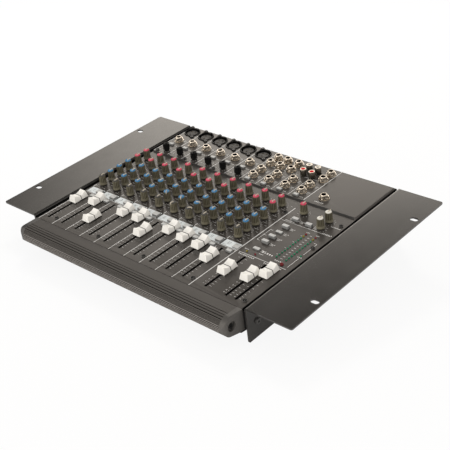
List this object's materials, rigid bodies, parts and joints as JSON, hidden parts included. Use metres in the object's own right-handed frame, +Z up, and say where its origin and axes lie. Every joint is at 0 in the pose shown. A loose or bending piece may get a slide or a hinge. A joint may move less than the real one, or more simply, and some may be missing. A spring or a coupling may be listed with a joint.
{
  "type": "audio mixing console",
  "caption": "Compact rack-eared audio mixing console with sliding faders, rotary knobs, push buttons, level meter and a raised panel of input and output sockets.",
  "frame": {"origin": "on the surface the console stands on, under the middle of its bounding box", "axes": "+X to the user's right, +Y to the rear of the console, +Z up"},
  "size_m": [0.4826, 0.3292, 0.0864],
  "materials": {
    "panel_paint": "dark warm grey satin paint",
    "pan_paint": "near black paint",
    "rail_metal": "dark anodised extrusion",
    "cap_plastic": "dark grey moulding",
    "ear_paint": "dark warm grey satin paint",
    "steel": "zinc plated",
    "black_steel": "blackened",
    "rubber": "black",
    "board": "green solder mask",
    "tape": "yellow winding tape",
    "ribbon": "grey",
    "black_plastic": "black",
    "nickel": "nickel plated",
    "rca_white": "white",
    "lamp_green": "clear tinted",
    "knob_red": "crimson cap",
    "knob_blue": "blue cap",
    "knob_olive": "olive grey",
    "knob_white": "white cap",
    "key_grey": "light grey",
    "cap_cream": "cream"
  },
  "bodies": {
    "console": {"top_panel": "panel_paint", "bottom_pan": "pan_paint", "front_rail": "rail_metal", "left_end_cap": "cap_plastic", "right_end_cap": "cap_plastic", "left_rack_ear": "ear_paint", "right_rack_ear": "ear_paint", "ear_screws": "steel", "panel_fasteners": "black_steel", "end_cap_screws": "black_steel", "rubber_feet": "rubber", "main_circuit_board": "board", "jack_circuit_board": "board", "power_supply_board": "board", "transformer": "tape", "ribbon_cable": "ribbon", "mic_sockets": "black_plastic", "line_jacks": "black_plastic", "jack_nuts": "nickel", "rca_sockets": "rca_white", "pot_bodies": "black_plastic", "fader_bodies": "steel", "switch_bodies": "black_plastic", "indicator_lamps": "lamp_green", "main_output_sockets": "black_plastic", "power_inlet": "black_plastic", "aux_knobs": "knob_red", "eq_knobs": "knob_blue", "pan_knobs": "knob_olive", "trim_knobs": "black_plastic"},
    "fader_1_slider": {"fader_1": "cap_cream"},
    "fader_2_slider": {"fader_2": "cap_cream"},
    "fader_3_slider": {"fader_3": "cap_cream"},
    "fader_4_slider": {"fader_4": "cap_cream"},
    "fader_5_slider": {"fader_5": "cap_cream"},
    "fader_6_slider": {"fader_6": "cap_cream"},
    "fader_7_slider": {"fader_7": "cap_cream"},
    "fader_8_slider": {"fader_8": "cap_cream"},
    "fader_9_slider": {"fader_9": "cap_cream"},
    "fader_10_slider": {"fader_10": "cap_cream"},
    "fader_submaster_slider": {"fader_submaster": "cap_cream"},
    "fader_main_left_slider": {"fader_main_left": "cap_cream"},
    "fader_main_right_slider": {"fader_main_right": "cap_cream"},
    "mute_buttons_keys": {"mute_buttons": "key_grey"},
    "solo_buttons_keys": {"solo_buttons": "key_grey"},
    "input_buttons_keys": {"input_buttons": "key_grey"},
    "master_buttons_keys": {"master_buttons": "key_grey"},
    "latched_buttons_keys": {"latched_buttons": "key_grey"},
    "power_switch_rocker": {"power_switch": "black_plastic"},
    "phantom_switch_rocker": {"phantom_switch": "black_plastic"},
    "trim_knob_1_shaft": {"trim_knob_1": "black_plastic"},
    "aux_1_knob_1_shaft": {"aux_1_knob_1": "knob_red"},
    "aux_2_knob_1_shaft": {"aux_2_knob_1": "knob_red"},
    "high_knob_1_shaft": {"high_knob_1": "knob_blue"},
    "mid_knob_1_shaft": {"mid_knob_1": "knob_blue"},
    "low_knob_1_shaft": {"low_knob_1": "knob_blue"},
    "pan_knob_1_shaft": {"pan_knob_1": "knob_olive"},
    "aux_master_knob_shaft": {"aux_master_knob": "knob_red"},
    "phones_level_knob_shaft": {"phones_level_knob": "knob_white"},
    "main_level_knob_shaft": {"main_level_knob": "knob_white"}
  },
  "joints": [
    {"name": "fader_1_slide", "type": "slide", "parent": "console", "child": "fader_1_slider", "axis": [0, 0.9934, 0.1149], "range_m": [-0.048, 0.012]},
    {"name": "fader_2_slide", "type": "slide", "parent": "console", "child": "fader_2_slider", "axis": [0, 0.9934, 0.1149], "range_m": [-0.057, 0.003]},
    {"name": "fader_3_slide", "type": "slide", "parent": "console", "child": "fader_3_slider", "axis": [0, 0.9934, 0.1149], "range_m": [-0.0246, 0.0354]},
    {"name": "fader_4_slide", "type": "slide", "parent": "console", "child": "fader_4_slider", "axis": [0, 0.9934, 0.1149], "range_m": [-0.0582, 0.0018]},
    {"name": "fader_5_slide", "type": "slide", "parent": "console", "child": "fader_5_slider", "axis": [0, 0.9934, 0.1149], "range_m": [-0.0594, 0.0006]},
    {"name": "fader_6_slide", "type": "slide", "parent": "console", "child": "fader_6_slider", "axis": [0, 0.9934, 0.1149], "range_m": [-0.0366, 0.0234]},
    {"name": "fader_7_slide", "type": "slide", "parent": "console", "child": "fader_7_slider", "axis": [0, 0.9934, 0.1149], "range_m": [-0.06, 0]},
    {"name": "fader_8_slide", "type": "slide", "parent": "console", "child": "fader_8_slider", "axis": [0, 0.9934, 0.1149], "range_m": [-0.057, 0.003]},
    {"name": "fader_9_slide", "type": "slide", "parent": "console", "child": "fader_9_slider", "axis": [0, 0.9934, 0.1149], "range_m": [-0.0552, 0.0048]},
    {"name": "fader_10_slide", "type": "slide", "parent": "console", "child": "fader_10_slider", "axis": [0, 0.9934, 0.1149], "range_m": [-0.0408, 0.0192]},
    {"name": "fader_submaster_slide", "type": "slide", "parent": "console", "child": "fader_submaster_slider", "axis": [0, 0.9934, 0.1149], "range_m": [-0.033, 0.027]},
    {"name": "fader_main_left_slide", "type": "slide", "parent": "console", "child": "fader_main_left_slider", "axis": [0, 0.9934, 0.1149], "range_m": [-0.0372, 0.0228]},
    {"name": "fader_main_right_slide", "type": "slide", "parent": "console", "child": "fader_main_right_slider", "axis": [0, 0.9934, 0.1149], "range_m": [-0.0534, 0.0066]},
    {"name": "mute_buttons_press", "type": "slide", "parent": "console", "child": "mute_buttons_keys", "axis": [0, 0.1149, -0.9934], "range_m": [0, 0.002], "stiffness_N_per_m": 600, "springref_m": -0.0015},
    {"name": "solo_buttons_press", "type": "slide", "parent": "console", "child": "solo_buttons_keys", "axis": [0, 0.1149, -0.9934], "range_m": [0, 0.002], "stiffness_N_per_m": 600, "springref_m": -0.0015},
    {"name": "input_buttons_press", "type": "slide", "parent": "console", "child": "input_buttons_keys", "axis": [0, 0.1149, -0.9934], "range_m": [0, 0.002], "stiffness_N_per_m": 600, "springref_m": -0.0015},
    {"name": "master_buttons_press", "type": "slide", "parent": "console", "child": "master_buttons_keys", "axis": [0, 0.1149, -0.9934], "range_m": [0, 0.002], "stiffness_N_per_m": 600, "springref_m": -0.0015},
    {"name": "latched_buttons_release", "type": "slide", "parent": "console", "child": "latched_buttons_keys", "axis": [0, -0.1149, 0.9934], "range_m": [0, 0.002]},
    {"name": "power_switch_rock", "type": "hinge", "parent": "console", "child": "power_switch_rocker", "pos_m": [-0.098, 0.1581, 0.03358], "axis": [1, 0, 0], "range_deg": [-18, 0]},
    {"name": "phantom_switch_rock", "type": "hinge", "parent": "console", "child": "phantom_switch_rocker", "pos_m": [-0.078, 0.1581, 0.03358], "axis": [1, 0, 0], "range_deg": [-18, 0]},
    {"name": "trim_knob_1_turn", "type": "hinge", "parent": "console", "child": "trim_knob_1_shaft", "pos_m": [-0.1558, 0.08204, 0.06807], "axis": [0, -0.1149, 0.9934], "range_deg": [-150, 150]},
    {"name": "aux_1_knob_1_turn", "type": "hinge", "parent": "console", "child": "aux_1_knob_1_shaft", "pos_m": [-0.16251, 0.05085, 0.06447], "axis": [0, -0.1149, 0.9934], "range_deg": [-150, 150]},
    {"name": "aux_2_knob_1_turn", "type": "hinge", "parent": "console", "child": "aux_2_knob_1_shaft", "pos_m": [-0.16251, 0.03406, 0.06253], "axis": [0, -0.1149, 0.9934], "range_deg": [-150, 150]},
    {"name": "high_knob_1_turn", "type": "hinge", "parent": "console", "child": "high_knob_1_shaft", "pos_m": [-0.16251, 0.01618, 0.06046], "axis": [0, -0.1149, 0.9934], "range_deg": [-150, 150]},
    {"name": "mid_knob_1_turn", "type": "hinge", "parent": "console", "child": "mid_knob_1_shaft", "pos_m": [-0.16251, 0.00008, 0.0586], "axis": [0, -0.1149, 0.9934], "range_deg": [-150, 150]},
    {"name": "low_knob_1_turn", "type": "hinge", "parent": "console", "child": "low_knob_1_shaft", "pos_m": [-0.16251, -0.01601, 0.05674], "axis": [0, -0.1149, 0.9934], "range_deg": [-150, 150]},
    {"name": "pan_knob_1_turn", "type": "hinge", "parent": "console", "child": "pan_knob_1_shaft", "pos_m": [-0.16251, -0.03131, 0.05497], "axis": [0, -0.1149, 0.9934], "range_deg": [-150, 150]},
    {"name": "aux_master_knob_turn", "type": "hinge", "parent": "console", "child": "aux_master_knob_shaft", "pos_m": [0.11241, 0.04995, 0.06436], "axis": [0, -0.1149, 0.9934], "range_deg": [-150, 150]},
    {"name": "phones_level_knob_turn", "type": "hinge", "parent": "console", "child": "phones_level_knob_shaft", "pos_m": [0.14941, 0.03406, 0.06253], "axis": [0, -0.1149, 0.9934], "range_deg": [-150, 150]},
    {"name": "main_level_knob_turn", "type": "hinge", "parent": "console", "child": "main_level_knob_shaft", "pos_m": [0.14941, 0.05045, 0.06442], "axis": [0, -0.1149, 0.9934], "range_deg": [-150, 150]}
  ]
}
